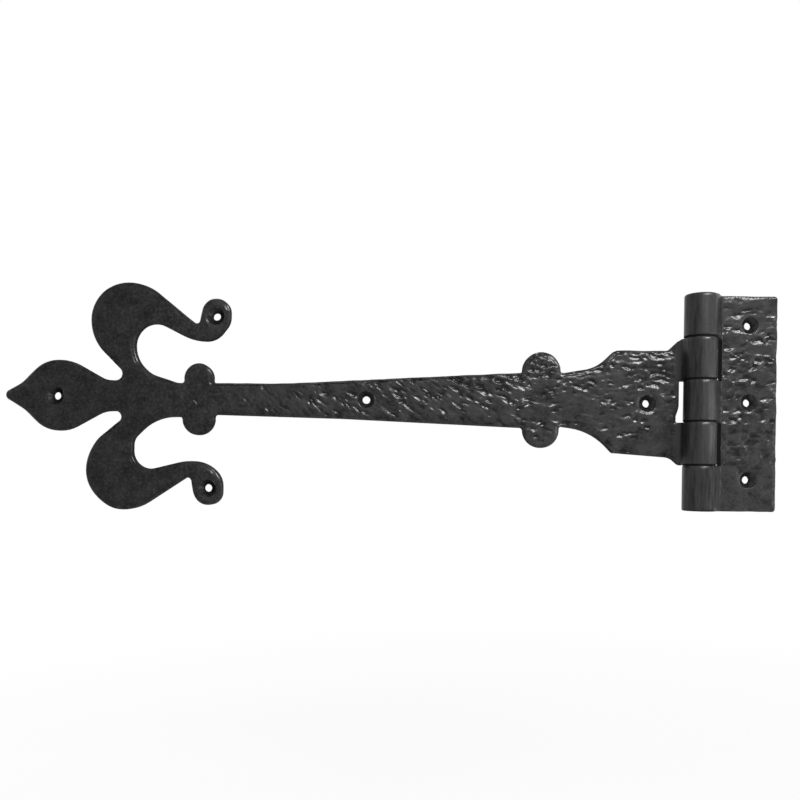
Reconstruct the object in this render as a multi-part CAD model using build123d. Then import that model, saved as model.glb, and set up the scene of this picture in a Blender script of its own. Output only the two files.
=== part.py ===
from build123d import *
import math
import os

os.makedirs("parts", exist_ok=True)

# Tee hinge with a fleur-de-lis strap, shown closed as it is screwed to a door and its frame.
# Millimetres. +X runs from the door to the frame, +Y into the wood, +Z up along the pin.
# The origin is the centre of the jamb leaf's middle screw hole, on the back plane of both leaves.

# Pin and barrel
pin_radius = 4.0
pin_end_chamfer = 0.6
barrel_radius = 8.8
barrel_bottom = -59.6       # below the middle screw of the jamb leaf
knuckle_pitches = [24.6, 23.6, 22.8, 23.0, 23.6]  # from the bottom; the hand-fitted seams differ a little
knuckle_gap = 0.2           # free height between neighbouring knuckles
strap_bore_clearance = 0.1  # radial, round the pin in the strap's knuckles
knuckle_end_chamfer = 0.6

# Both leaves
leaf_thickness = 5.0
screw_radius = 2.1
countersink_radius = 4.8    # 90 degree countersink for a No. 8 screw

# Jamb leaf
pin_to_jamb_screws = 28.6
pin_to_jamb_edge = 43.7
jamb_above_barrel = 0.6     # the leaf stands this much above the top knuckle
jamb_below_barrel = 0.4     # and this much below the bottom one
jamb_screw_pitch = 42.5
jamb_corner_radius = 1.8
jamb_edge_chamfer = 0.6
jamb_root_reach = 13.1      # from the pin to the foot of the straight flank beside its knuckles
notch_gap = 4.5             # from the strap's knuckles to the edge of their notches
notch_corner_radius = 1.0

# Strap leaf, measured from the pin towards the tip and from the strap's own centreline
strap_drop = 1.1            # the centreline lies this far below the jamb leaf's middle screw
strap_root_fillet = 2.5     # sweep from the strap's face into its knuckles
strap_edge_chamfer = 1.2
window_gap = 1.3            # from the middle knuckle to the edge of the strap behind it
window_corner_radius = 1.0
window_flare = 1.6          # the edge is filed back this much further at the bottom
window_flare_top = 8.5      # the flare begins this far above the window's lower corner
window_flare_bottom = 3.4   # and has its full depth from here down
pin_to_shoulder_screw = 27.0
pin_to_middle_screw = 181.5
pin_to_shoulder_lobes = 85.2
pin_to_collar = 273.8
collar_to_tip_screw = 78.4
upper_curl_screw = (-9.2, 44.8)
lower_curl_screw = (-5.7, -49.8)

# Round lobes that stand out above and below the strap: height of centre, radius
upper_shoulder_lobe = (17.3, 10.3)
lower_shoulder_lobe = (-15.3, 9.9)
upper_collar_lobe = (10.7, 8.1)
lower_collar_lobe = (-11.8, 8.9)
lobe_corner_radius = 1.5    # in the corners between a lobe and the strap

# Outlines are corners, each with the radius that rounds it: (along, height, radius).
# The centre leaf, from its point to the notches beside the side petals, from the collar.
leaf_point = (108.9, 0.0, 3.1)
upper_leaf = [
    (97.0, 7.2, 20.0),
    (84.6, 19.7, 17.0),
    (70.4, 19.7, 19.0),
    (51.0, 8.9, 15.0),
    (36.8, 8.9, 3.8),
]
lower_leaf = [
    (95.1, -8.2, 25.0),
    (83.9, -19.2, 17.0),
    (71.8, -19.2, 19.0),
    (52.0, -8.0, 15.0),
    (36.8, -8.0, 3.2),
]
# Side petals, from the notch round the back, out to the curl, and back along the inner bay
upper_petal = [
    (59.6, 31.3, 26.5),
    (59.6, 50.8, 20.0),
    (47.6, 62.8, 20.0),
    (29.6, 62.8, 26.0),
    (0.4, 39.3, 1.8),
    (-1.9, 50.7, 7.0),
    (-5.6, 54.4, 7.3),
    (-12.8, 54.4, 7.5),
    (-17.0, 50.2, 6.8),
    (-17.0, 41.3, 10.0),
    (-9.3, 31.2, 11.5),
    (3.3, 31.2, 29.0),
    (26.3, 42.7, 10.5),
    (35.4, 33.6, 12.5),
    (35.4, 21.2, 17.0),
    (26.9, 12.7, 17.0),
    (11.7, 8.0, 8.0),
    (-45.8, 8.2, 300.0),
]
lower_petal = [
    (61.6, -28.5, 27.0),
    (61.6, -48.7, 20.0),
    (48.1, -62.2, 18.0),
    (33.3, -62.2, 24.0),
    (4.0, -42.6, 2.3),
    (2.0, -54.5, 10.0),
    (-2.5, -59.0, 8.5),
    (-9.6, -59.0, 7.0),
    (-13.7, -54.9, 7.0),
    (-13.7, -43.9, 12.0),
    (-4.8, -35.0, 18.0),
    (7.3, -35.0, 28.0),
    (29.2, -40.6, 9.8),
    (36.0, -33.8, 9.8),
    (36.0, -23.4, 7.5),
    (23.4, -10.8, 25.0),
    (2.0, -10.8, 0.0),
    (-2.0, -9.2, 0.0),
    (-78.8, -10.6, 300.0),
]
# Shoulder of the strap, from the lobes to the ogee that ends at the knuckles, from the pin
upper_shoulder = [
    (88.0, 16.5, 0.0),
    (82.0, 14.8, 0.0),
    (54.9, 19.2, 24.0),
    (44.8, 29.0, 4.0),
    (15.4, 29.1, 6.0),
]
lower_shoulder = [
    (88.0, -14.6, 0.0),
    (82.0, -12.3, 0.0),
    (57.2, -15.6, 33.0),
    (45.6, -27.5, 1.5),
    (13.3, -29.7, 8.0),
]
ogee_end_radius = 3.0

# Places that follow from the sizes above
pin_x = -pin_to_jamb_screws
pin_y = -barrel_radius      # the barrel's back lies in the back plane of the leaves
seams = [barrel_bottom + sum(knuckle_pitches[:i]) for i in range(len(knuckle_pitches) + 1)]
jamb_numbers = range(0, len(knuckle_pitches), 2)
strap_numbers = range(1, len(knuckle_pitches), 2)
arms_bottom = seams[min(strap_numbers)] + knuckle_gap / 2
arms_top = seams[max(strap_numbers) + 1] - knuckle_gap / 2
clear = 1.0                 # how far cutting solids run past what they cut


def rounded_face(corners):
    """A flat face whose corners are rounded, each radius kept within its two runs."""
    points = [Vector(along, height) for along, height, _ in corners]
    count = len(points)
    runs = [(points[(i + 1) % count] - points[i]).length for i in range(count)]
    turns, reach = [], []
    for i, (_, _, radius) in enumerate(corners):
        before = (points[i] - points[i - 1]).normalized()
        after = (points[(i + 1) % count] - points[i]).normalized()
        turn = math.radians(before.get_angle(after))
        turns.append((before, after, turn))
        reach.append(radius * math.tan(turn / 2))
    share = [min(1.0, runs[i] / max(reach[i] + reach[(i + 1) % count], 1e-6)) for i in range(count)]
    reach = [reach[i] * min(share[i], share[i - 1]) for i in range(count)]
    edges, ends = [], []
    for i, (before, after, turn) in enumerate(turns):
        start, end = points[i] - before * reach[i], points[i] + after * reach[i]
        ends.append((start, end))
        if reach[i] > 1e-6:
            edges.append(TangentArc(start, end, tangent=before))
    for i in range(count):
        start, end = ends[i][1], ends[(i + 1) % count][0]
        if (end - start).length > 1e-4:
            edges.append(Line(start, end))
    return make_face(edges)


def stand_up(flat):
    """Stand a face drawn from the pin (along, height) up in the back plane of the strap."""
    mirrored = mirror(flat, Plane.YZ)
    return Plane((pin_x, 0, -strap_drop), x_dir=(1, 0, 0), z_dir=(0, -1, 0)) * mirrored


def from_collar(corners):
    return [(pin_to_collar + along, height, radius) for along, height, radius in corners]


def strap_outline():
    """The whole outline, from the point of the centre leaf round both petals to the pin."""
    above = from_collar([leaf_point] + upper_leaf + upper_petal) + upper_shoulder
    above += [(barrel_radius, arms_top + strap_drop, ogee_end_radius), (0, arms_top + strap_drop, 0)]
    below = from_collar(lower_leaf + lower_petal) + lower_shoulder
    below += [(barrel_radius, arms_bottom + strap_drop, ogee_end_radius), (0, arms_bottom + strap_drop, 0)]
    outline = rounded_face(above + below[::-1])
    lobes = [
        (pin_to_shoulder_lobes, upper_shoulder_lobe),
        (pin_to_shoulder_lobes, lower_shoulder_lobe),
        (pin_to_collar, upper_collar_lobe),
        (pin_to_collar, lower_collar_lobe),
    ]
    for along, (height, radius) in lobes:
        outline += Pos(along, height) * Circle(radius)
    corners = []
    for along, (height, radius) in lobes:
        for vertex in outline.vertices():
            if abs((Vector(vertex) - Vector(along, height)).length - radius) < 1e-4:
                corners.append(vertex)
    return fillet(corners, lobe_corner_radius)


def knuckle_span(number):
    """The bottom and the length of one knuckle, counted from the bottom."""
    return seams[number] + knuckle_gap / 2, knuckle_pitches[number] - knuckle_gap


def knuckle_roots(section, numbers):
    """A root's section, extruded over each of these knuckles."""
    roots = []
    for number in numbers:
        bottom, length = knuckle_span(number)
        roots.append(Pos(0, 0, bottom) * extrude(section, length))
    return roots


def sweep_section():
    """The hollow sweep between the strap's face and its barrel, as seen along the pin."""
    rise = leaf_thickness + strap_root_fillet - barrel_radius
    run = math.sqrt((barrel_radius + strap_root_fillet) ** 2 - rise ** 2)
    axis, back = Vector(pin_x, pin_y), Vector(pin_x, 0)
    centre = Vector(pin_x - run, -leaf_thickness - strap_root_fillet)
    foot, behind = Vector(centre.X, -leaf_thickness), Vector(centre.X, 0)
    on_barrel = axis + (centre - axis).normalized() * barrel_radius
    arc = RadiusArc(foot, on_barrel, strap_root_fillet)
    if (arc.center() - centre).length > strap_root_fillet:
        arc = RadiusArc(foot, on_barrel, -strap_root_fillet)
    return make_face([arc, Line(on_barrel, axis), Line(axis, back), Line(back, behind), Line(behind, foot)])


def flank_section():
    """The straight flank from the jamb leaf's face up to where it touches the barrel."""
    axis, foot = Vector(pin_x, pin_y), Vector(pin_x + jamb_root_reach, -leaf_thickness)
    away = foot - axis
    turn = math.degrees(math.acos(barrel_radius / away.length))
    touch = axis + away.normalized().rotate(Axis.Z, -turn) * barrel_radius
    corners = [foot, touch, axis, Vector(pin_x, 0), Vector(foot.X, 0)]
    return make_face(Polyline(*corners, close=True))


def cylinder_z(radius, bottom, height):
    return Pos(pin_x, pin_y, bottom + height / 2) * Cylinder(radius, height)


def knuckles(numbers):
    """Round knuckles, their end edges eased."""
    rings = []
    for number in numbers:
        ring = cylinder_z(barrel_radius, *knuckle_span(number))
        rings.append(chamfer(ring.edges().filter_by(GeomType.CIRCLE), knuckle_end_chamfer))
    return rings


def bore(radius):
    return cylinder_z(radius, seams[0] - clear, seams[-1] - seams[0] + 2 * clear)


def notch(number):
    """What the jamb leaf leaves free round one knuckle of the strap."""
    height = knuckle_pitches[number] + knuckle_gap
    box = Box(2 * (barrel_radius + notch_gap), 4 * barrel_radius, height)
    box = fillet(box.edges().filter_by(Axis.Y), notch_corner_radius)
    return Pos(pin_x, 0, (seams[number] + seams[number + 1]) / 2) * box


def window(number):
    """The opening in the strap beside a knuckle of the jamb, filed back at its lower corner."""
    bottom = seams[number] - knuckle_gap / 2 + strap_drop
    top = seams[number + 1] + knuckle_gap / 2 + strap_drop
    edge = barrel_radius + window_gap
    corners = [
        (0, top, 0),
        (edge, top, window_corner_radius),
        (edge, bottom + window_flare_top, window_flare_top),
        (edge + window_flare, bottom + window_flare_bottom, window_corner_radius),
        (edge + window_flare, bottom, window_corner_radius),
        (0, bottom, 0),
    ]
    return extrude(stand_up(rounded_face(corners)), 2 * barrel_radius, dir=(0, -1, 0), both=True)


def screw_hole(x, z):
    """A countersunk screw hole, cut from the front of a leaf."""
    shank = Pos(0, 0, leaf_thickness / 2) * Cylinder(screw_radius, leaf_thickness + 2 * clear)
    sink_depth = countersink_radius - screw_radius
    sink_bottom = leaf_thickness - sink_depth
    sink = Pos(0, 0, sink_bottom + (sink_depth + clear) / 2) * Cone(
        screw_radius, countersink_radius + clear, sink_depth + clear
    )
    return Plane((x, 0, z), z_dir=(0, -1, 0)) * (shank + sink)


def front_rim(plate, lowest_x, highest_x):
    """The edges of a plate's front face between two stations along X."""
    rim = plate.faces().sort_by(Axis.Y)[0].edges()
    return [edge for edge in rim if lowest_x < edge.center().X < highest_x]


def make_strap_leaf():
    outline = strap_outline()
    sketch = stand_up(outline)
    plate = extrude(sketch, leaf_thickness, dir=(0, -1, 0))
    root_x = pin_x - barrel_radius - strap_root_fillet
    plate = chamfer(front_rim(plate, -math.inf, root_x), strap_edge_chamfer)
    sweep = Part() + knuckle_roots(sweep_section(), strap_numbers)
    sweep = sweep & extrude(sketch, 2 * barrel_radius, dir=(0, -1, 0))
    leaf = plate + sweep
    for number in jamb_numbers:
        if min(strap_numbers) < number < max(strap_numbers):
            leaf -= window(number)
    leaf += knuckles(strap_numbers)
    leaf -= bore(pin_radius + strap_bore_clearance)
    places = [
        (pin_to_shoulder_screw, 0),
        (pin_to_middle_screw, 0),
        (pin_to_collar + collar_to_tip_screw, 0),
        (pin_to_collar + upper_curl_screw[0], upper_curl_screw[1]),
        (pin_to_collar + lower_curl_screw[0], lower_curl_screw[1]),
    ]
    for along, height in places:
        leaf -= screw_hole(pin_x - along, height - strap_drop)
    return leaf


def make_jamb_leaf():
    bottom = seams[0] + knuckle_gap / 2 - jamb_below_barrel
    height = seams[-1] - knuckle_gap / 2 + jamb_above_barrel - bottom
    middle = Vector(pin_x + pin_to_jamb_edge / 2, -leaf_thickness / 2, bottom + height / 2)
    plate = Pos(middle) * Box(pin_to_jamb_edge, leaf_thickness, height)
    outer = [edge for edge in plate.edges().filter_by(Axis.Y) if edge.center().X > middle.X]
    plate = fillet(outer, jamb_corner_radius)
    plate = chamfer(front_rim(plate, pin_x + jamb_root_reach, math.inf), jamb_edge_chamfer)
    leaf = plate + knuckle_roots(flank_section(), jamb_numbers)
    for number in strap_numbers:
        leaf -= notch(number)
    leaf += knuckles(jamb_numbers)
    leaf -= bore(pin_radius)
    for row in (-1, 0, 1):
        leaf -= screw_hole(0, row * jamb_screw_pitch)
    return leaf


def make_hinge_pin():
    """A plain round pin, tight in the jamb's knuckles, its ends level with the barrel's."""
    pin = cylinder_z(pin_radius, seams[0] + knuckle_gap / 2, seams[-1] - seams[0] - knuckle_gap)
    return chamfer(pin.edges().filter_by(GeomType.CIRCLE), pin_end_chamfer)


export_step(make_strap_leaf(), "parts/strap_leaf.step")
export_step(make_jamb_leaf(), "parts/jamb_leaf.step")
export_step(make_hinge_pin(), "parts/hinge_pin.step")
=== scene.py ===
import math

import bmesh
import bpy
from mathutils import Matrix, Vector, kdtree, noise
from mathutils.geometry import delaunay_2d_cdt


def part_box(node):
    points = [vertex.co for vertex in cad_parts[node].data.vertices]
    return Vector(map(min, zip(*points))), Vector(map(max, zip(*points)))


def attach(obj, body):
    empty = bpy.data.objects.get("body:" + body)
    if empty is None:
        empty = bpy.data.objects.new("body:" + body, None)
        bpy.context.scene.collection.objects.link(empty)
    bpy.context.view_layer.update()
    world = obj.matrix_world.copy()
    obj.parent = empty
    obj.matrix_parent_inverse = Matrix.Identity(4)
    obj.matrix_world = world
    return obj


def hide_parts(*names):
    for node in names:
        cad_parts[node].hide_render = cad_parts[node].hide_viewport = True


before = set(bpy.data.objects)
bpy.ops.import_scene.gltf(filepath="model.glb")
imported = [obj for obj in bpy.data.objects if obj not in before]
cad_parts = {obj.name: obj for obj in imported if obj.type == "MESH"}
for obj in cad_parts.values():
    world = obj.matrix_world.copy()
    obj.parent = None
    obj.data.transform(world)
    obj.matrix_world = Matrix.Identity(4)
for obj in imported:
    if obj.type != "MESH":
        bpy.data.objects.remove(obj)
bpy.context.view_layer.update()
mm = 0.001

pinLow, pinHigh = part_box("hinge_pin")
pinX = (pinLow.x + pinHigh.x) / 2 / mm
pinY = (pinLow.y + pinHigh.y) / 2 / mm
print("frame loaded, pin at", round(pinX, 2), round(pinY, 2), "mm")


skin = {
    "nearly": 0.01,              # how near a vertex counts as lying on a plane, mm
    "wallEdge": 1.7,             # longest edge on the side walls and the barrel
    "holeEdge": 0.6,             # longest edge in the screw holes
    "holeReach": 5.2,            # how far a screw hole reaches from its middle, countersink and all
    "halvings": 9,               # most times that an edge is split
    "rowHeight": 0.87,           # height of a row of even triangles, as a share of their side
    "offRow": 0.0137,            # rows lie a little off round heights, so none runs through a vertex
    "offLine": 0.0037,           # and so do the heights at which triangles are sorted
    "rimSpacing": 0.25,          # the rim is known by places this far apart
    "rimBand": 2.4,              # beside the rim the skin is fine everywhere
    "room": (0.55, 0.8),         # distance kept from the rim's vertices, in steps, fine and coarse
    "sharpFrom": 52,             # degrees between two faces that still look round
}


# small helpers shared by the pieces

def linearColour(hexText):
    channels = []
    for start in (0, 2, 4):
        value = int(hexText[start:start + 2], 16) / 255
        channels.append(value / 12.92 if value <= 0.04045 else ((value + 0.055) / 1.055) ** 2.4)
    return (*channels, 1.0)


def addNode(tree, kind, values=None, links=None, **settings):
    node = tree.nodes.new(kind)
    for name, value in settings.items():
        setattr(node, name, value)
    for name, value in (values or {}).items():
        node.inputs[name].default_value = value
    for name, source in (links or {}).items():
        tree.links.new(source, node.inputs[name])
    return node


def ease(value, low, high):
    t = min(1.0, max(0.0, (value - low) / (high - low)))
    return t * t * (3 - 2 * t)


def readAlong(table, place):
    for (placeA, valueA), (placeB, valueB) in zip(table, table[1:]):
        if place <= placeB:
            return valueA + (valueB - valueA) * ease(place, placeA, placeB)
    return table[-1][1]


def softSpots(spots, x, z):
    kept = 1.0
    for spotX, spotZ, reachX, reachZ, amount in spots:
        away = math.hypot((x - spotX) / reachX, (z - spotZ) / reachZ)
        kept *= 1 - amount * (1 - ease(away, 0.5, 1.2))
    return kept


# a casting starts from its CAD node, gets a fine skin, and is then hammered

def weldedCopy(nodeName):
    work = bmesh.new()
    work.from_mesh(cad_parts[nodeName].data)
    bmesh.ops.scale(work, vec=(1 / mm,) * 3, verts=work.verts)    # millimetres from here on
    bmesh.ops.remove_doubles(work, verts=work.verts, dist=0.002)
    bmesh.ops.dissolve_degenerate(work, edges=work.edges, dist=0.001)
    return work


def onPlane(face, y):
    return all(abs(vert.co.y - y) < skin["nearly"] for vert in face.verts)


def splitLongEdges(work, isWanted, longest):
    for _ in range(skin["halvings"]):
        long = [edge for edge in work.edges if edge.calc_length() > longest and isWanted(edge)]
        if not long:
            break
        bmesh.ops.subdivide_edges(work, edges=long, cuts=1)
        many = [face for face in work.faces if len(face.verts) > 3]
        bmesh.ops.triangulate(work, faces=many, quad_method="SHORT_EDGE", ngon_method="BEAUTY")


def rimLoops(rimEdges):
    nextTo = {}
    for edge in rimEdges:
        for vert in edge.verts:
            nextTo.setdefault(vert, []).append(edge.other_vert(vert))
    loops, used = [], set()
    for first in nextTo:
        if first in used:
            continue
        loop, here, before = [], first, None
        while here not in used:
            used.add(here)
            loop.append(here)
            ahead = [vert for vert in nextTo[here] if vert is not before and vert not in used]
            before, here = here, ahead[0] if ahead else first
        loops.append(loop)
    return loops


def frontAndRim(work, look):
    front = [face for face in work.faces if onPlane(face, look["frontY"])]
    inFront = set(front)
    rim = [edge for edge in work.edges if sum(face in inFront for face in edge.link_faces) == 1]
    return front, rim


def findScrewHoles(work, look):
    holes = []
    for loop in rimLoops(frontAndRim(work, look)[1]):
        middle = sum((vert.co for vert in loop), Vector()) / len(loop)
        offRound = max(abs((vert.co - middle).length - look["sinkRadius"]) for vert in loop)
        if len(loop) > 8 and offRound < 0.15:
            holes.append((middle.x, middle.z))
    return holes


def roundOff(work, look, holes):
    # split edges lie on chords: cones, screw holes and knuckles get their true radius back
    shankTop = look["frontY"] + look["sinkRadius"] - look["shankRadius"]
    for vert in work.verts:
        x, y, z = vert.co
        for holeX, holeZ in holes:
            away = math.hypot(x - holeX, z - holeZ)
            if away < look["sinkRadius"] + 0.2:
                radius = look["shankRadius"] + max(0.0, shankTop - y)
                if abs(away - radius) < 0.35:
                    vert.co.x = holeX + (x - holeX) * radius / away
                    vert.co.z = holeZ + (z - holeZ) * radius / away
        away = math.hypot(x - pinX, y - pinY)
        if look["knuckleRadius"] - 0.25 < away < look["knuckleRadius"] + 0.02:
            if min(abs(z - end) for end in look["knuckleEnds"]) > look["endBevel"] - 0.01:
                vert.co.x = pinX + (x - pinX) * look["knuckleRadius"] / away
                vert.co.y = pinY + (y - pinY) * look["knuckleRadius"] / away


def closeSeams(work, look):
    # the knuckles' end faces come nearly together, so no light shows through the seams
    ends = look["knuckleEnds"]
    inSeam = range(1, len(ends) - 1) if look["closesBarrel"] else range(len(ends))
    for number in inSeam:
        growth = look["seamGrowth"] * (-1, 1)[number % 2]      # bottoms go down, tops go up
        for vert in work.verts:
            away = math.hypot(vert.co.x - pinX, vert.co.y - pinY)
            if abs(vert.co.z - ends[number]) < 0.02 and away < look["knuckleRadius"]:
                vert.co.z += growth
            elif number % 2 == 0 and away > look["knuckleRadius"] - 0.05 and vert.co.y < look["frontY"]:
                if abs(vert.co.z - ends[number] - look["endBevel"]) < 0.03:
                    vert.co.z += look["underBevel"]         # bottoms are more rounded than tops


def findKnuckleEnds(work, radius):
    heights = sorted(vert.co.z for vert in work.verts
                     if math.hypot(vert.co.x - pinX, vert.co.y - pinY) < radius - 0.1
                     and vert.co.y < pinY)
    ends = []
    for height in heights:
        if not ends or height - ends[-1] > 5:
            ends.append(height)
    return ends


def placeTree(places):
    tree = kdtree.KDTree(len(places))
    for i, place in enumerate(places):
        tree.insert((place.x, 0, place.y), i)
    tree.balance()
    return tree


def refillFront(work, look):
    # the flat front comes off and goes back on as an even skin of small triangles
    front, rim = frontAndRim(work, look)
    rimVerts = list(dict.fromkeys(vert for edge in rim for vert in edge.verts))
    index = {vert: i for i, vert in enumerate(rimVerts)}
    segments = [(edge.verts[0].co.xz, edge.verts[1].co.xz) for edge in rim]
    vertTree = placeTree([vert.co.xz for vert in rimVerts])
    places = []                                # the rim once more, as a close row of places
    for a, b in segments:
        cuts = math.ceil((b - a).length / skin["rimSpacing"])
        places += [a.lerp(b, cut / cuts) for cut in range(cuts)]
    look["rim"] = placeTree(places)

    def crossings(z):
        found = []
        for a, b in segments:
            if (a.y > z) != (b.y > z):
                found.append(a.x + (z - a.y) / (b.y - a.y) * (b.x - a.x))
        return sorted(found)

    step = look["skinStep"]
    rowHeight = step * skin["rowHeight"]
    roomFine, roomCoarse = (step * share for share in skin["room"])
    low = min(vert.co.z for vert in rimVerts)
    high = max(vert.co.z for vert in rimVerts)
    points = [vert.co.xz for vert in rimVerts]
    for row in range(1, int((high - low) / rowHeight)):
        z = low + row * rowHeight + skin["offRow"]
        spans = crossings(z)
        for left, right in zip(spans[::2], spans[1::2]):
            column = math.ceil(left / step)
            while column * step < right:
                x = (column + 0.5 * (row % 2)) * step
                column += 1
                if not left < x < right:
                    continue
                even = row % 2 == 0 and column % 2 == 0
                fine = x > look["fineFrom"] or (not even and look["rim"].find((x, 0, z))[2] < skin["rimBand"])
                if (fine or even) and vertTree.find((x, 0, z))[2] > (roomFine if fine else roomCoarse):
                    points.append(Vector((x, z)))
    links = [(index[edge.verts[0]], index[edge.verts[1]]) for edge in rim]
    made = delaunay_2d_cdt(points, links, [], 1, 1e-6)
    bmesh.ops.delete(work, geom=front, context="FACES_ONLY")
    verts = []
    for place, sources in zip(made[0], made[3]):
        old = [i for i in sources if i < len(rimVerts)]
        verts.append(rimVerts[old[0]] if old else work.verts.new((place.x, look["frontY"], place.y)))
    known = {}                                 # triangles of one height share their crossings
    for corners in made[2]:
        face = [verts[i] for i in corners]
        middle = (face[0].co + face[1].co + face[2].co) / 3
        z = round(middle.z, 1) + skin["offLine"]
        if z not in known:
            known[z] = crossings(z)
        inside = sum(x < middle.x for x in known[z]) % 2 == 1
        if not inside:                         # a second look at the exact height, near a rim
            inside = sum(x < middle.x for x in crossings(middle.z)) % 2 == 1
        if len(set(face)) == 3 and inside:
            work.faces.new(face)
    loose = [vert for vert in work.verts if not vert.link_faces]
    bmesh.ops.delete(work, geom=loose, context="VERTS")
    bmesh.ops.recalc_face_normals(work, faces=work.faces)
    return len(made[2])


# the hammered skin

hammer = {
    "swell": (15.0, 8.0, 0.30),      # length, height and depth of the broad dents, mm
    "dent": (5.2, 2.9, 0.85),        # the dished blows whose lower walls catch the light
    "nick": (2.7, 1.7, 0.30),        # small sharp blows among them
    "patch": (11.0, 5.5),            # blows fall hard in patches of this size and lightly between them
    "light": 0.40,                   # share of its depth that a blow has between the patches
    "hard": 1.25,                    # and in the middle of one
    "wander": (8.0, 1.4),            # how fast and how far the rows of blows wander
    "bend": 300.0,                   # the rows lean more and more over this length, mm
    "gouge": (0.42, 1.05),           # depth of a scratch and its reach to either side
    "gentle": [(17, 13, 0.16), (5, 5, 0.05)],    # length, height and depth of the casting's own unevenness
}

filing = {
    "under": 0.10,                   # how much the file took off the knuckles, mm
    "flats": 0.13,                   # depth of its flats
    "fine": 0.03,
    "reach": 0.45,                   # what lies this near to the knuckle's radius is filed
}

# the middle number of a place in the noise picks a layer of its own, so no two patterns look alike


def dish(x, z, layer, size):
    # one blow beside the other: straight walls down to a small bottom, ridges where they meet
    long, high, deep = size
    return deep * (noise.voronoi((x / long, layer, z / high))[0][0] - 0.55)


def gougeDepth(gouges, x, z):
    # single scratches and chisel marks, each from one end to the other, pointed at both
    depth = 0.0
    deep, reach = hammer["gouge"]
    for startX, startZ, endX, endZ in gouges:
        alongX, alongZ = endX - startX, endZ - startZ
        length = math.hypot(alongX, alongZ)
        share = ((x - startX) * alongX + (z - startZ) * alongZ) / length ** 2
        if -0.1 < share < 1.1:
            aside = abs((x - startX) * alongZ - (z - startZ) * alongX) / length
            pointed = ease(share, -0.1, 0.3) * (1 - ease(share, 0.7, 1.1))
            depth += deep * pointed * (1 - ease(aside, 0.0, reach))
    return depth


def hammerHeight(x, z, rough, look):
    # height over the flat and how far down in a dent the place lies, in mm
    length, far = hammer["wander"]
    lean, leanTo = look["lean"]
    beyond = min(0.0, x - leanTo)
    x2 = x + far * 1.5 * noise.noise((x / length, 7.0, z / length))
    z2 = z + far * noise.noise((x / length, 3.0, z / length))
    z2 += lean * beyond * (1 - beyond / hammer["bend"])
    long, high, deep = hammer["swell"]
    swell = deep * noise.noise((x2 / long, 0.0, z2 / high))
    patch = noise.noise((x2 / hammer["patch"][0], 5.0, z2 / hammer["patch"][1]))
    hard = hammer["light"] + (hammer["hard"] - hammer["light"]) * ease(patch, -0.22, 0.36)
    height = hard * dish(x2, z2, 1.7, [value * look["coarse"] for value in hammer["dent"]])
    height += hard * dish(x2, z2, 9.2, hammer["nick"])
    return (swell + height) * rough, max(0.0, -height * rough)


def gentleHeight(x, z):
    (longA, highA, deepA), (longB, highB, deepB) = hammer["gentle"]
    broad = deepA * noise.noise((x / longA, 12.0, z / highA))
    return broad + deepB * noise.noise((x / longB, 2.0, z / highB))


def filedRadius(x, y, z, ends):
    # flats left by a file along the knuckles, a little different on each one: change of the radius
    turn = math.atan2(y - pinY, x - pinX)
    which = sum(1 for end in ends if end < z)
    flat = noise.noise((3.4 * math.cos(turn), 3.4 * math.sin(turn), which * 3.7 + z / 60))
    fine = noise.noise((9 * math.cos(turn), 9 * math.sin(turn), which * 5.1 + z / 25))
    return -filing["under"] + filing["flats"] * flat + filing["fine"] * fine


def rimDrop(look, x, z):
    # the rim is worn round, here more and there less
    greyAndLit = readAlong(look["rimWear"], x) * (0.6 + 0.8 * noise.noise((x / 11, 40.0, z / 11)))
    fromRim = look["rim"].find((x, 0, z))[2]
    return min(look["mostWear"], max(0.0, greyAndLit)) * (1 - ease(fromRim, 0.0, look["rimReach"]))


def armShade(look, x, z):
    # painted shade on the strap's two arms beside the barrel
    armLow = look["arms"][0]
    return look["armShade"] * (1 - ease(abs(x - pinX), 13, 26)) * ease(abs(z), armLow - 3, armLow + 2)


def rootFill(look, x, y, z):
    # a run of metal softens the corner between an arm and its knuckle: how full the corner is here
    armLow, armHigh, armReach = look["arms"]
    away = math.hypot(x - look["root"][0], y - look["root"][1])
    if away < look["rootReach"] and armLow < abs(z) < armHigh:
        return (1 - ease(away, 0.5, look["rootReach"])) * ease(abs(z), armLow, armLow + armReach)
    return 0.0


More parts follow.
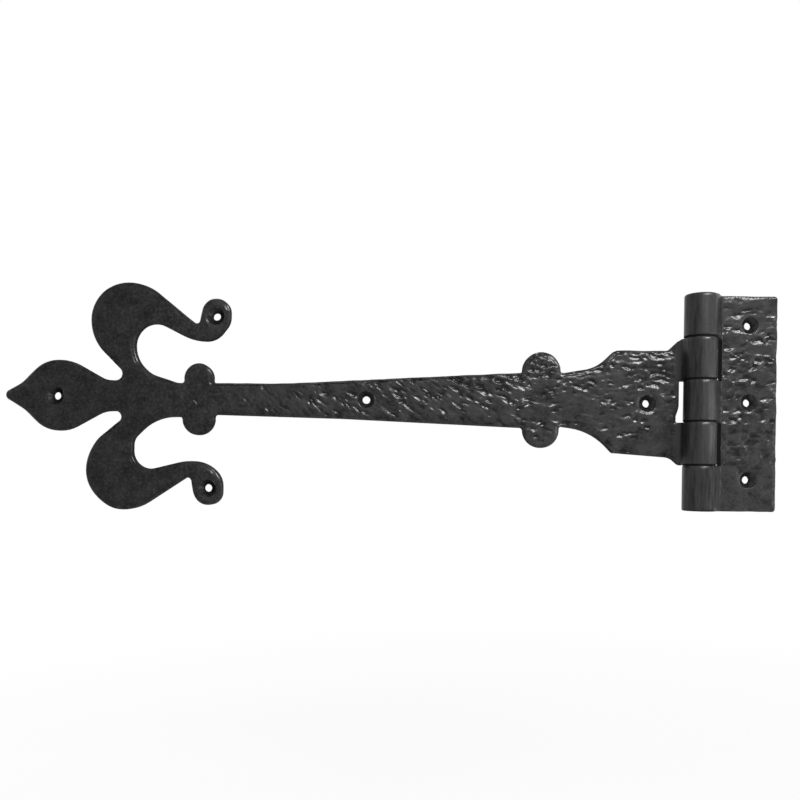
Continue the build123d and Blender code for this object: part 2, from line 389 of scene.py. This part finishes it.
def hammerSkin(work, look, holes):
    paintedShade = work.verts.layers.float.new("paintedShade")       # painted shade: the lacquer's tint reads this and goes black deep in the dents, in the countersinks and on the arms
    for vert in work.verts:
        x, y, z = vert.co
        onFront = y < look["frontY"] + 0.02
        front = 1 - ease(y, look["frontY"] + 1.0, -0.4)        # the back stays flat
        away = math.hypot(x - pinX, y - pinY)
        leaf = ease(abs(x - pinX), look["leafFrom"][0], look["leafFrom"][1])
        rough = readAlong(look["roughAlong"], x) * readAlong(look["roughUp"], z)
        rough *= softSpots(look["smoothSpots"], x, z)
        fromHoles = [math.hypot(x - holeX, z - holeZ) for holeX, holeZ in holes]
        sink = 0.25 + 0.75 * ease(min(fromHoles), 4.6, 7.5)    # the countersinks were cut clean afterwards
        height, depth = hammerHeight(x, z, rough, look)
        height += gentleHeight(x, z) * max(0.2, 1 - 0.6 * rough) - gougeDepth(look["gouges"], x, z)
        drop = rimDrop(look, x, z) if onFront and leaf > 0 else 0.0
        vert.co.y = y - front * leaf * (sink * height - drop)
        # painted shade deep in the dents and on the arms beside the barrel
        vert[paintedShade] = front * leaf * (sink * depth + armShade(look, x, z))
        # painted shade in the countersinks
        if look["frontY"] + 0.02 < y < -1.0 and min(fromHoles) < skin["holeReach"]:
            vert[paintedShade] = look["sinkShade"]
        wobble = look["edgeWobble"] * front * leaf
        vert.co.x += wobble * noise.noise((x / 9, 20.0, z / 9))
        vert.co.z += wobble * noise.noise((x / 9, 30.0, z / 9))
        fill = rootFill(look, x, y, z) if onFront else 0.0
        fromKnuckle = abs(away - look["knuckleRadius"])
        if fill > 0:
            vert.co.x -= 0.7 * fill
            vert.co.y -= 0.7 * fill
        elif fromKnuckle < filing["reach"] and leaf < 0.9 and y < -1.0:
            change = filedRadius(x, y, z, look["knuckleEnds"]) * ease(-y, 1.0, 4.0) / away
            change *= 1 - ease(fromKnuckle, 0.05, filing["reach"])
            vert.co.x += (x - pinX) * change
            vert.co.y += (y - pinY) * change


def keepInBox(work, nodeName):
    low, high = (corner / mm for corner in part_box(nodeName))
    for vert in work.verts:
        for axis in range(3):
            vert.co[axis] = min(high[axis], max(low[axis], vert.co[axis]))


def finishPiece(work, name, nodeName, body, materials, pickFinish):
    for face in work.faces:
        face.smooth = True
        face.material_index = pickFinish(face)
    bmesh.ops.scale(work, vec=(mm,) * 3, verts=work.verts)
    mesh = bpy.data.meshes.new(name)
    work.to_mesh(mesh)
    work.free()
    for material in materials:
        mesh.materials.append(material)
    if "custom_normal" in mesh.attributes:      # left over from the CAD mesh, wrong for the new skin
        mesh.attributes.remove(mesh.attributes["custom_normal"])
    mesh.set_sharp_from_angle(angle=math.radians(skin["sharpFrom"]))
    for face in mesh.polygons:                  # the flat back stays flat to the eye
        face.use_smooth = any(mesh.vertices[i].co.y < -skin["nearly"] * mm for i in face.vertices)
    piece = bpy.data.objects.new(name, mesh)
    bpy.context.scene.collection.objects.link(piece)
    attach(piece, body)
    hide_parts(nodeName)
    print(name, "has", len(mesh.polygons), "faces")


# materials

lacquer = {
    "deep": "050506",            # black: where the lacquer lies thick, at the tip, and as painted shade deep in the dents
    "greyAndLit": "2a2a2b",            # grey: where the lacquer is thin at random, and toward the root as painted light
    "paintedLightFrom": (-360, -200),    # mm along the strap: painted light, black at the tip, greyer at the hammered root
    "blackShadeDepth": 0.22,              # mm of depth at which the painted shade in a dent is quite black
    "cloud": 14.0,               # broad change between thick and thin lacquer, mm
    "mottle": 1.6,               # small change of tint and gloss, mm
    "haze": 7.0,                 # patches of hazy and clear lacquer, mm
    "middling": (0.35, 0.65),    # the part of the mottle and the haze that does most of the work
    "paintedLightAtTip": 0.25,           # share of the painted light left at the tip, against the root
    "unevenness": (-0.22, 0.3),   # what the mottle takes from the thin lacquer and painted light and adds to it
    "greyAndLitSeen": (0.08, 0.62),    # value at which the tint leaves the deep colour and reaches the grey one
    "roughness": (0.16, 0.34),
    "sheen": (0.30, 0.70),
    "grain": 0.55,               # the mould's sand, mm: really about 0.3, drawn coarser so that it shows
    "grainDepth": 0.030,
    "speck": 2.6,                # dust and runs caught in the lacquer, mm apart
    "speckDepth": 0.05,
    "ior": 1.32,
}


def lacqueredIron(name, look, streaks):
    # black lacquer over cast iron: a thin satin skin, black with painted shade deep in the dents, greyer
    # toward the root as painted light and grey at random where it is thin, with the sand grain of the mould
    # showing through as a fine broken gloss
    made = bpy.data.materials.new(name)
    made.use_nodes = True
    tree = made.node_tree
    tree.nodes.clear()
    place = addNode(tree, "ShaderNodeTexCoord").outputs["Object"]
    stretch = (1, 1, 0.12) if streaks else (1, 1, 1)       # a file pulled along the barrel leaves streaks
    laid = addNode(tree, "ShaderNodeMapping", {"Scale": stretch}, {"Vector": place}).outputs["Vector"]
    cloud = addNode(tree, "ShaderNodeTexNoise",
                    {"Scale": 1 / (look["cloud"] * mm), "Detail": 4.0, "Roughness": 0.6}, {"Vector": laid})
    grain = addNode(tree, "ShaderNodeTexNoise", {"Scale": 1 / (look["grain"] * mm), "Detail": 3.0},
                    {"Vector": laid})
    specks = addNode(tree, "ShaderNodeTexVoronoi", {"Scale": 1 / (look["speck"] * mm), "Randomness": 1.0},
                     {"Vector": place})
    across = addNode(tree, "ShaderNodeSeparateXYZ", None, {0: place})
    # painted light: the tint greys along the strap toward the root
    blackTo, greyFrom = (x * mm for x in look["paintedLightFrom"])
    paintedLightAndShade = addNode(tree, "ShaderNodeMapRange",
                   {"From Min": blackTo, "From Max": greyFrom, "To Min": look["paintedLightAtTip"], "To Max": 1.0},
                   {"Value": across.outputs["X"]}, interpolation_type="SMOOTHSTEP")
    # painted shade: the tint goes black deep in the dents, in the countersinks and on the arms
    paintedShadeDepth = addNode(tree, "ShaderNodeAttribute", attribute_name="paintedShade")
    outOfShade = addNode(tree, "ShaderNodeMapRange",
                   {"From Min": 0.02, "From Max": look["blackShadeDepth"], "To Min": 1.0, "To Max": 0.0},
                   {"Value": paintedShadeDepth.outputs["Fac"]})
    paintedLightAndShade = addNode(tree, "ShaderNodeMath", None, {0: paintedLightAndShade.outputs["Result"], 1: outOfShade.outputs["Result"]},
                   operation="MULTIPLY")
    greyAndLit = addNode(tree, "ShaderNodeMath", None, {0: cloud.outputs["Fac"], 1: paintedLightAndShade.outputs["Value"]},
                   operation="MULTIPLY")
    mottle = addNode(tree, "ShaderNodeTexNoise",
                     {"Scale": 1 / (look["mottle"] * mm), "Detail": 4.0, "Roughness": 0.7}, {"Vector": laid})
    faint, strong = look["middling"]
    least, most = look["unevenness"]
    uneven = addNode(tree, "ShaderNodeMapRange",
                     {"From Min": faint, "From Max": strong, "To Min": least, "To Max": most},
                     {"Value": mottle.outputs["Fac"]})
    greyAndLit = addNode(tree, "ShaderNodeMath", None, {0: greyAndLit.outputs["Value"], 1: uneven.outputs["Result"]},
                   operation="ADD")
    tint = addNode(tree, "ShaderNodeValToRGB", None, {"Fac": greyAndLit.outputs["Value"]})
    colours = look["deep"], look["greyAndLit"]
    for stop, wear, colour in zip(tint.color_ramp.elements, look["greyAndLitSeen"], colours):
        stop.position = wear
        stop.color = linearColour(colour)
    low, high = look["roughness"]
    gloss = addNode(tree, "ShaderNodeMapRange",
                    {"From Min": faint, "From Max": strong, "To Min": high, "To Max": low},
                    {"Value": mottle.outputs["Fac"]})
    bumpGrain = addNode(tree, "ShaderNodeBump", {"Strength": 1.0, "Distance": look["grainDepth"] * mm},
                        {"Height": grain.outputs["Fac"]})
    bumpSpecks = addNode(tree, "ShaderNodeBump", {"Strength": 0.6, "Distance": look["speckDepth"] * mm},
                         {"Height": specks.outputs["Distance"], "Normal": bumpGrain.outputs["Normal"]})
    haze = addNode(tree, "ShaderNodeTexNoise",
                   {"Scale": 1 / (look["haze"] * mm), "Detail": 6.0, "Roughness": 0.75}, {"Vector": laid})
    low, high = look["sheen"]
    sheen = addNode(tree, "ShaderNodeMapRange",
                    {"From Min": faint, "From Max": strong, "To Min": low, "To Max": high},
                    {"Value": haze.outputs["Fac"]})
    coat = addNode(tree, "ShaderNodeBsdfPrincipled", {"IOR": look["ior"], "Metallic": 0.0},
                   {"Base Color": tint.outputs["Color"], "Roughness": gloss.outputs["Result"],
                    "Specular IOR Level": sheen.outputs["Result"],
                    "Normal": bumpSpecks.outputs["Normal"]})
    addNode(tree, "ShaderNodeOutputMaterial", None, {"Surface": coat.outputs["BSDF"]})
    return made


filedLacquer = dict(lacquer, grainDepth=0.02, roughness=(0.26, 0.40))    # smoother metal under duller lacquer
barLacquer = dict(lacquer, grain=0.3, grainDepth=0.012)
blackLacqueredCastIron = lacqueredIron("blackLacqueredCastIron", lacquer, False)
blackLacqueredFiledKnuckle = lacqueredIron("blackLacqueredFiledKnuckle", filedLacquer, True)
blackenedSteelBar = lacqueredIron("blackenedSteelBar", barLacquer, False)


# painted shade: colours and dullness of the near-black on side walls, seams, bore and undersides
edgeShade = {
    "deep": "050505",
    "pale": "0e0e0f",
    "pebble": 0.9,               # size of the pebbles in the dried skin, mm
    "pebbleDepth": 0.03,
    "roughness": (0.72, 0.88),
    "ior": 1.2,
}


def paintedShadeLacquer(name, look):
    # painted shade: a dull near-black for the side walls, the seams, the bore and the knuckles' undersides,
    # with no gloss at a glancing angle, so the outline stays dark against white, with a slightly pebbled skin
    made = bpy.data.materials.new(name)
    made.use_nodes = True
    tree = made.node_tree
    tree.nodes.clear()
    place = addNode(tree, "ShaderNodeTexCoord").outputs["Object"]
    pebbles = addNode(tree, "ShaderNodeTexNoise", {"Scale": 1 / (look["pebble"] * mm), "Detail": 3.0},
                      {"Vector": place})
    tint = addNode(tree, "ShaderNodeValToRGB", None, {"Fac": pebbles.outputs["Fac"]})
    tint.color_ramp.elements[0].color = linearColour(look["deep"])
    tint.color_ramp.elements[1].color = linearColour(look["pale"])
    low, high = look["roughness"]
    dull = addNode(tree, "ShaderNodeMapRange",
                   {"From Min": 0.3, "From Max": 0.7, "To Min": low, "To Max": high},
                   {"Value": pebbles.outputs["Fac"]})
    bumps = addNode(tree, "ShaderNodeBump", {"Strength": 1.0, "Distance": look["pebbleDepth"] * mm},
                    {"Height": pebbles.outputs["Fac"]})
    coat = addNode(tree, "ShaderNodeBsdfPrincipled", {"IOR": look["ior"], "Metallic": 0.0},
                   {"Base Color": tint.outputs["Color"], "Roughness": dull.outputs["Result"],
                    "Normal": bumps.outputs["Normal"]})
    addNode(tree, "ShaderNodeOutputMaterial", None, {"Surface": coat.outputs["BSDF"]})
    return made


paintedShadeOnEdges = paintedShadeLacquer("paintedShadeOnEdges", edgeShade)
print("materials made")


# what both castings share, in mm

casting = {
    "frontY": -5.0,
    "sinkRadius": 4.8,               # countersinks
    "shankRadius": 2.1,              # and the holes under them
    "sinkShade": 0.13,               # painted shade in the countersinks, as dark as in a dent of this depth
    "knuckleRadius": 8.8,
    "barrelReach": 13.6,             # what lies this near to the pin belongs to the barrel
    "mostWear": 0.55,                # a front rim is never worn deeper than this
    "endBevel": 0.6,                 # bevel round the knuckles' ends
    "underBevel": 0.35,              # the same below, larger by this
    "seamGrowth": 0.08,              # how far a knuckle's end comes toward the next one
    "root": (0.0, 0.0),
    "rootReach": 0.0,                # no softened corner
    "arms": (0.0, 0.0, 1.0),
    "armShade": 0.0,
    "gouges": [],
    "smoothSpots": [],
}

# which face gets which finish, painted shade on ends, undersides and side walls: how far it looks up, down or
# to the front, from -1 to 1
facings = {
    "end": 0.8,                      # a knuckle's end looks up or down more than this
    "underside": -0.25,              # and the barrel's underside looks down at least this much
    "wall": 0.4,                     # a side wall looks to the front or the back less than this
}


# strap leaf

strap = {
    **casting,
    "skinStep": 0.49,                # size of the skin's triangles where it is hammered, mm
    "roughAlong": [(-302, 0.04), (-292, 0.40), (-262, 0.85), (-225, 1.05), (-200, 1.38), (-125, 1.5),
                   (-98, 1.0)],      # how hard the blows fall along the strap, by x
    "roughUp": [(-26, 0.72), (-10, 0.92), (4, 1.02), (13, 1.20), (24, 0.90)],     # and across it, by z
    "coarse": 1.0,                   # size of the blows, against the hammer's
    "lean": (0.34, -125),            # left of this x the rows of dents run down to the right, more and more
    "rimWear": [(-306, 0.95), (-288, 0.70)],     # how deep the front's rim is worn round, by x
    "rimReach": 1.7,                 # and over what width
    "root": (-38.0, -5.7),           # x and y of the corner between the leaf and its knuckles, softened
    "rootReach": 4.6,                # by a run of metal that reaches this far
    "arms": (11.3, 34.4, 1.6),       # the arms beside the barrel: lowest and highest |z|, and the run's start
    "armShade": 0.12,                # painted shade on them, as dark as in a dent of this depth
    "fineFrom": -308.0,              # the skin is fine from this x on and coarser on the smooth petals
    "gouges": [(-305.4, -1.4, -301.9, -5.6), (-301.3, -14.2, -296.8, -16.0), (-265.6, -5.7, -263.0, -8.7),
               (-248.5, 3.8, -243.4, 0.7), (-241.8, -1.8, -240.6, -4.3), (-237.2, -3.8, -234.1, -6.3),
               (-233.3, 4.4, -231.2, 1.3), (-222.4, -0.2, -219.0, -2.6), (-218.1, 1.5, -213.9, 0.1),
               (-207.9, 7.7, -203.8, 2.7), (-186.2, 10.6, -183.6, 7.6), (-179.5, 6.1, -175.9, 4.1),
               (-172.4, 4.2, -164.8, -0.2), (-164.8, -0.2, -157.0, -5.2)],
    "smoothSpots": [(-50, -26, 19, 10, 0.9), (-95, -4, 16, 7, 0.6), (-150, -9, 30, 6, 0.4)],
    "leafFrom": (10.5, 14.0),        # distance from the pin where the hammering begins
    "edgeWobble": 0.22,
    "closesBarrel": False,
}


# jamb leaf

jamb = {
    **casting,
    "skinStep": 0.46,
    "roughAlong": [(-20, 1.0), (16, 1.0)],
    "roughUp": [(-52, 0.25), (-30, 0.85), (-5, 1.12), (38, 1.10), (54, 0.35)],
    "coarse": 1.35,
    "lean": (-0.06, 20),
    "rimWear": [(-20, 0.20), (16, 0.20)],
    "rimReach": 1.6,
    "fineFrom": -20.0,
    "leafFrom": (12.6, 14.6),
    "edgeWobble": 0.35,
    "closesBarrel": True,            # its first and last knuckle end the barrel
}


def dressLeaf(name, nodeName, body, look):
    work = weldedCopy(nodeName)
    holes = findScrewHoles(work, look)
    look["knuckleEnds"] = findKnuckleEnds(work, look["knuckleRadius"])

    def isInFront(edge):
        return all(onPlane(face, look["frontY"]) for face in edge.link_faces)

    def nearHole(edge):
        middle = (edge.verts[0].co + edge.verts[1].co) / 2
        return any(math.hypot(middle.x - x, middle.z - z) < skin["holeReach"] for x, z in holes)

    def atBack(edge):
        return all(abs(vert.co.y) < skin["nearly"] for vert in edge.verts)

    def inBarrel(edge):
        # in the bore and the knuckles' end faces, apart from the bevel round them
        away = [math.hypot(vert.co.x - pinX, vert.co.y - pinY) for vert in edge.verts]
        return max(away) < look["knuckleRadius"] - 0.1 and min(away) < look["knuckleRadius"] - 0.8

    def isWall(edge):
        return not (isInFront(edge) or atBack(edge) or inBarrel(edge))

    splitLongEdges(work, isWall, skin["wallEdge"])
    splitLongEdges(work, lambda edge: not isInFront(edge) and nearHole(edge), skin["holeEdge"])
    roundOff(work, look, holes)
    closeSeams(work, look)
    made = refillFront(work, look)
    hammerSkin(work, look, holes)
    keepInBox(work, nodeName)
    ends = [round(z, 2) for z in look["knuckleEnds"]]
    print(name, "holes", len(holes), "knuckle ends", ends, "front faces", made)

    finishes = [blackLacqueredCastIron, blackLacqueredFiledKnuckle, paintedShadeOnEdges]
    onLeaf, onKnuckle, paintedShadeEdge = range(len(finishes))

    def pickFinish(face):
        middle, facing = face.calc_center_median(), face.normal
        if abs(middle.x - pinX) < look["barrelReach"]:
            inBore = math.hypot(middle.x - pinX, middle.y - pinY) < look["knuckleRadius"] - 1
            onUnderside = facing.z < facings["underside"] and middle.y < look["frontY"]
            # painted shade in the bore, on the knuckles' ends and undersides, and on side walls
            if inBore or onUnderside or abs(facing.z) > facings["end"]:
                return paintedShadeEdge
            if middle.y < look["frontY"] - 0.1:
                return onKnuckle
        return paintedShadeEdge if abs(facing.y) < facings["wall"] else onLeaf

    finishPiece(work, name, nodeName, body, finishes, pickFinish)


dressLeaf("hammeredStrap", "strap_leaf", "strap", strap)
dressLeaf("hammeredJambLeaf", "jamb_leaf", "jamb", jamb)

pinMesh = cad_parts["hinge_pin"].data
pinMesh.materials.clear()
pinMesh.materials.append(blackenedSteelBar)
print("leaves dressed")


# floor, light and camera

studio = {
    "floorHeight": -0.30,                # places and sizes in metres, powers in watts
    "floorSize": 14,
    "floorColour": "f4f4f2",
    "fade": (0.25, 0.90),                # the card whitens over this stretch away from the object
    "worldStrength": 0.28,
    "keyPlace": (0.22, -0.60, 0.46),     # above the camera and to the right, over the barrel
    "keyAim": (-0.15, 0, 0),
    "keySize": (0.50, 0.10),
    "keyPower": 9.0,
    "sidePlace": (0.62, -0.42, -0.10),   # low on the right: a streak down the barrel, rims on the petals
    "sideAim": (-0.30, 0, 0),
    "sideSize": (0.45, 0.40),
    "sidePower": 1.7,
}


def seenDirectly(tree, path):
    # 1 for the camera and for reflections, 0 for the light that falls on the object
    rays = {0: path.outputs["Is Camera Ray"], 1: path.outputs["Is Glossy Ray"]}
    return addNode(tree, "ShaderNodeMath", None, rays, operation="ADD", use_clamp=True)


def makeFloor():
    bpy.ops.mesh.primitive_plane_add(size=studio["floorSize"], location=(0, 0, studio["floorHeight"]))
    floor = bpy.context.active_object
    floor.name = "paleFloor"
    made = bpy.data.materials.new("paleCard")
    made.use_nodes = True
    tree = made.node_tree
    tree.nodes.clear()
    card = addNode(tree, "ShaderNodeBsdfDiffuse", {"Color": linearColour(studio["floorColour"])})
    glow = addNode(tree, "ShaderNodeEmission", {"Color": (1, 1, 1, 1), "Strength": 1.0})
    seen = seenDirectly(tree, addNode(tree, "ShaderNodeLightPath"))
    place = addNode(tree, "ShaderNodeTexCoord").outputs["Object"]
    far = addNode(tree, "ShaderNodeVectorMath", None, {0: place}, operation="LENGTH")
    near, white = studio["fade"]
    fade = addNode(tree, "ShaderNodeMapRange",
                   {"From Min": near, "From Max": white, "To Min": 0.9, "To Max": 1.0},
                   {"Value": far.outputs["Value"]})
    share = addNode(tree, "ShaderNodeMath", None, {0: seen.outputs[0], 1: fade.outputs[0]},
                    operation="MULTIPLY")
    mixed = addNode(tree, "ShaderNodeMixShader", None,
                    {0: share.outputs[0], 1: card.outputs[0], 2: glow.outputs[0]})
    addNode(tree, "ShaderNodeOutputMaterial", None, {"Surface": mixed.outputs[0]})
    floor.data.materials.append(made)


def makeWorld():
    world = bpy.data.worlds.new("softStudio")
    bpy.context.scene.world = world
    world.use_nodes = True
    tree = world.node_tree
    tree.nodes.clear()
    path = addNode(tree, "ShaderNodeLightPath")
    seen = addNode(tree, "ShaderNodeMath", None,
                   {0: seenDirectly(tree, path).outputs[0], 1: path.outputs["Is Transmission Ray"]},
                   operation="ADD", use_clamp=True)
    light = addNode(tree, "ShaderNodeBackground",
                    {"Color": (1, 1, 1, 1), "Strength": studio["worldStrength"]})
    white = addNode(tree, "ShaderNodeBackground", {"Color": (1, 1, 1, 1), "Strength": 1.0})
    mixed = addNode(tree, "ShaderNodeMixShader", None,
                    {0: seen.outputs[0], 1: light.outputs[0], 2: white.outputs[0]})
    addNode(tree, "ShaderNodeOutputWorld", None, {"Surface": mixed.outputs[0]})


def makeSoftbox(which):
    lamp = bpy.data.lights.new(which + "Box", "AREA")
    lamp.shape = "RECTANGLE"
    lamp.size, lamp.size_y = studio[which + "Size"]
    lamp.energy = studio[which + "Power"]
    place, aim = Vector(studio[which + "Place"]), Vector(studio[which + "Aim"])
    holder = bpy.data.objects.new(which + "Box", lamp)
    holder.location = place
    holder.rotation_euler = (aim - place).to_track_quat("-Z", "Y").to_euler()
    bpy.context.scene.collection.objects.link(holder)


# the photograph is taken square on, from 444 mm in front of the back plane
view = {
    "foot": (-208.756, -37.0),       # where the lens axis meets the back plane, mm
    "distance": 444.0,
    "roll": 0.0135,                  # radians
    "lens": 36.0,
    "sensor": 36.0,
    "shift": (0.04, 0.08125),
    "clip": (0.01, 20),              # metres
}


def makeCamera():
    lens = bpy.data.cameras.new("photoCamera")
    lens.lens, lens.sensor_width = view["lens"], view["sensor"]
    lens.shift_x, lens.shift_y = view["shift"]
    lens.clip_start, lens.clip_end = view["clip"]
    camera = bpy.data.objects.new("photoCamera", lens)
    c, s = math.cos(view["roll"]), math.sin(view["roll"])
    turned = Matrix(((c, -s, 0), (0, 0, -1), (s, c, 0)))
    place = Vector((view["foot"][0], -view["distance"], view["foot"][1])) * mm
    camera.matrix_world = Matrix.Translation(place) @ turned.to_4x4()
    bpy.context.scene.collection.objects.link(camera)
    bpy.context.scene.camera = camera


makeFloor()
makeWorld()
makeSoftbox("key")
makeSoftbox("side")
makeCamera()
bpy.context.scene.view_settings.view_transform = "Standard"
print("studio ready")
